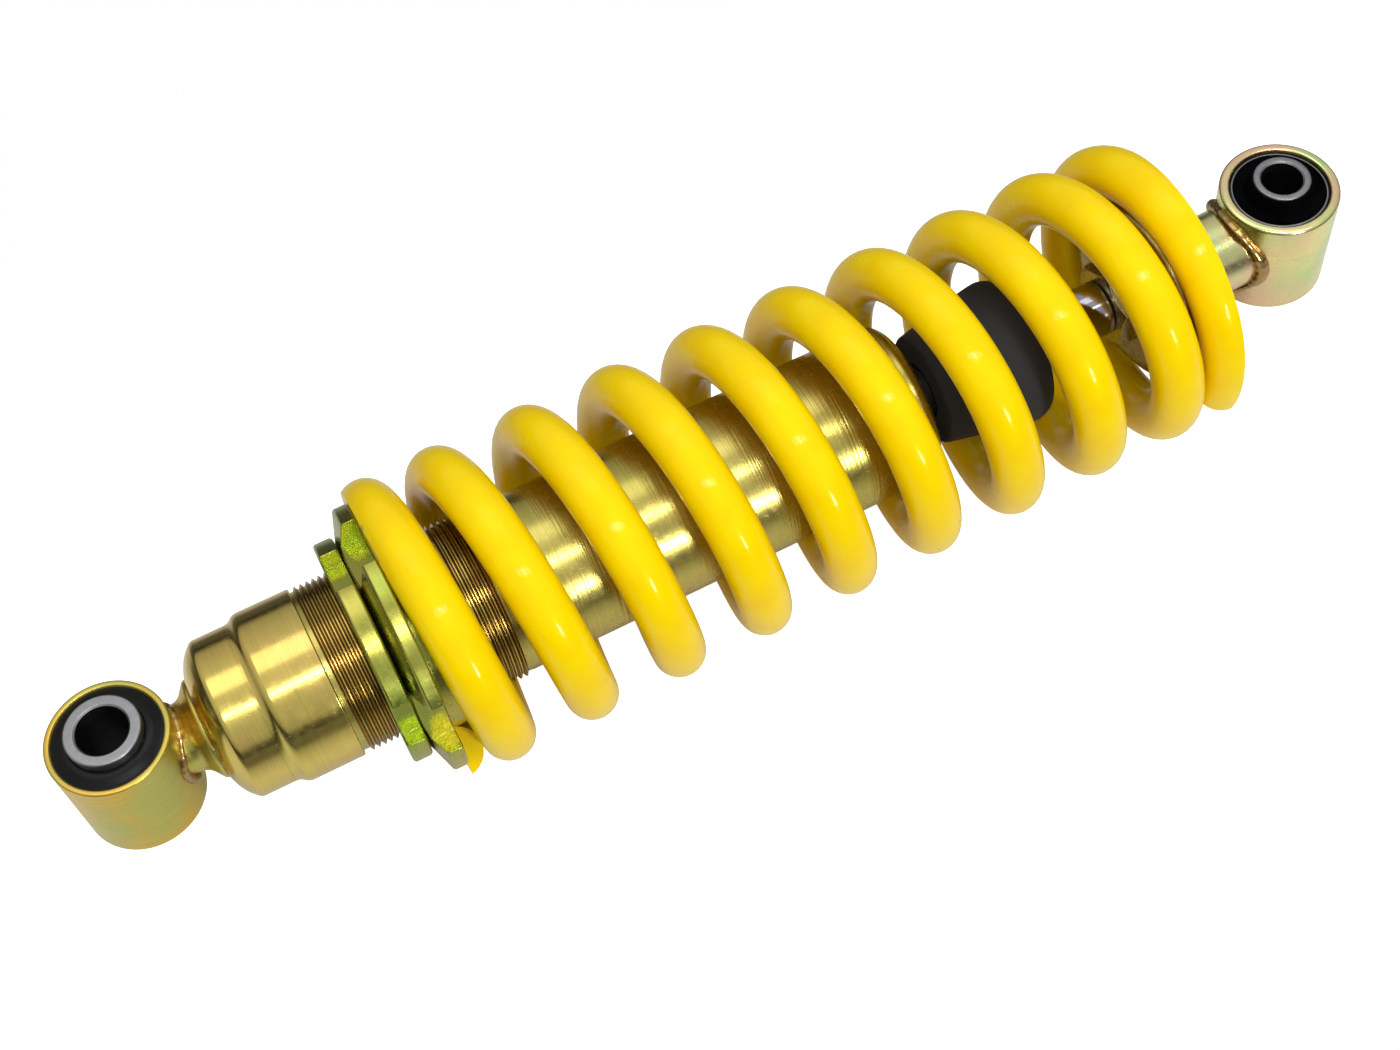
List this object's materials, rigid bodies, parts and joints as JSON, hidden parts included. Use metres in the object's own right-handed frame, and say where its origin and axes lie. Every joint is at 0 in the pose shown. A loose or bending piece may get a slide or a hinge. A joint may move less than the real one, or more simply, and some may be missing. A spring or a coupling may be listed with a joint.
{
  "type": "coilover",
  "caption": "Telescopic damper with a screwed spring seat, a coil spring around it and a rubber-bushed eye at each end.",
  "frame": {"origin": "centre of the body eye's bore", "axes": "+X along the shock from the body eye to the rod eye, +Z along both eye bores, +Y square to both; the damper stands fully extended"},
  "size_m": [0.337, 0.0748, 0.0748],
  "materials": {
    "zinc_steel": "yellow passivated zinc",
    "zinc_silver": "clear zinc",
    "dull_steel": "dull",
    "yellow_coat": "gloss powder coat",
    "chrome": "hard chrome",
    "rubber": "moulded",
    "bump_foam": "moulded foam",
    "seal_rubber": "moulded",
    "plain_steel": "turned",
    "spring_steel": "blued",
    "sintered": "sintered",
    "bearing_band": "filled polymer",
    "bronze": "bearing bronze"
  },
  "bodies": {
    "damper_body": {"body_eye": "zinc_steel", "body_eye_bush": "rubber", "body_eye_stem": "zinc_steel", "body_eye_weld": "zinc_steel", "base_cap": "zinc_steel", "damper_tube": "zinc_steel", "inner_cylinder": "plain_steel", "foot_valve_body": "sintered", "foot_valve_rivet": "plain_steel", "rod_guide": "sintered", "guide_bush": "bronze", "guide_o_ring": "seal_rubber", "oil_seal": "seal_rubber", "seal_cover": "plain_steel"},
    "body_sleeve": {"body_eye_sleeve": "zinc_silver"},
    "foot_plate": {"foot_valve_plate": "spring_steel"},
    "spring_on_seat": {"spring": "yellow_coat"},
    "seat_ring": {"adjuster_ring": "zinc_steel"},
    "jam_ring": {"lock_ring": "zinc_steel"},
    "retainer": {"spring_retainer": "zinc_steel"},
    "rod": {"piston_rod": "chrome", "piston": "sintered", "piston_band": "bearing_band", "check_stop_washer": "plain_steel", "compression_shims": "spring_steel", "piston_nut": "plain_steel", "rebound_stop": "bearing_band", "lock_nut": "zinc_steel", "rod_eye_stem": "zinc_steel", "rod_eye_weld": "zinc_steel", "rod_eye": "zinc_steel", "rod_eye_bush_shell": "dull_steel", "rod_eye_bush": "rubber"},
    "piston_plate": {"piston_check_plate": "spring_steel"},
    "rod_sleeve": {"rod_eye_sleeve": "dull_steel"},
    "bump_stop": {"bump_stop": "bump_foam"}
  },
  "joints": [
    {"name": "stroke", "type": "slide", "parent": "damper_body", "child": "retainer", "axis": [1, 0, 0], "range_m": [-0.043, 0], "stiffness_N_per_m": 139600, "springref_m": 0.002, "deforming": ["spring", "bump_stop"]},
    {"name": "rod_turn", "type": "hinge", "parent": "retainer", "child": "rod", "pos_m": [0, 0, 0], "axis": [1, 0, 0], "continuous": true},
    {"name": "bump_slide", "type": "slide", "parent": "damper_body", "child": "bump_stop", "axis": [1, 0, 0], "range_m": [-0.0049, 0]},
    {"name": "adjuster_turn", "type": "hinge", "parent": "spring_on_seat", "child": "seat_ring", "pos_m": [0, 0, 0], "axis": [1, 0, 0], "range_deg": [-1920, 3360]},
    {"name": "preload_travel", "type": "slide", "parent": "damper_body", "child": "spring_on_seat", "axis": [1, 0, 0], "range_m": [-0.008, 0.014], "deforming": ["spring"]},
    {"name": "lock_ring_turn", "type": "hinge", "parent": "spring_on_seat", "child": "jam_ring", "pos_m": [0, 0, 0], "axis": [1, 0, 0], "range_deg": [-1920, 3360]},
    {"name": "body_eye_twist", "type": "hinge", "parent": "damper_body", "child": "body_sleeve", "pos_m": [0, 0, 0], "axis": [0, 0, 1], "range_deg": [-15, 15], "stiffness_Nm_per_rad": 30},
    {"name": "rod_eye_twist", "type": "hinge", "parent": "rod", "child": "rod_sleeve", "pos_m": [0.308, 0, 0], "axis": [0, 0, 1], "range_deg": [-15, 15], "stiffness_Nm_per_rad": 30},
    {"name": "foot_valve_lift", "type": "slide", "parent": "damper_body", "child": "foot_plate", "axis": [1, 0, 0], "range_m": [0, 0.001], "stiffness_N_per_m": 500},
    {"name": "piston_check_lift", "type": "slide", "parent": "rod", "child": "piston_plate", "axis": [1, 0, 0], "range_m": [0, 0.0007], "stiffness_N_per_m": 500}
  ],
  "couplings": [
    {"joint": "adjuster_turn", "follows": "preload_travel", "rad_per_m": 4188.8},
    {"joint": "lock_ring_turn", "follows": "preload_travel", "rad_per_m": 4188.8},
    {"joint": "bump_slide", "follows": "stroke", "ratio": 0.11395}
  ]
}
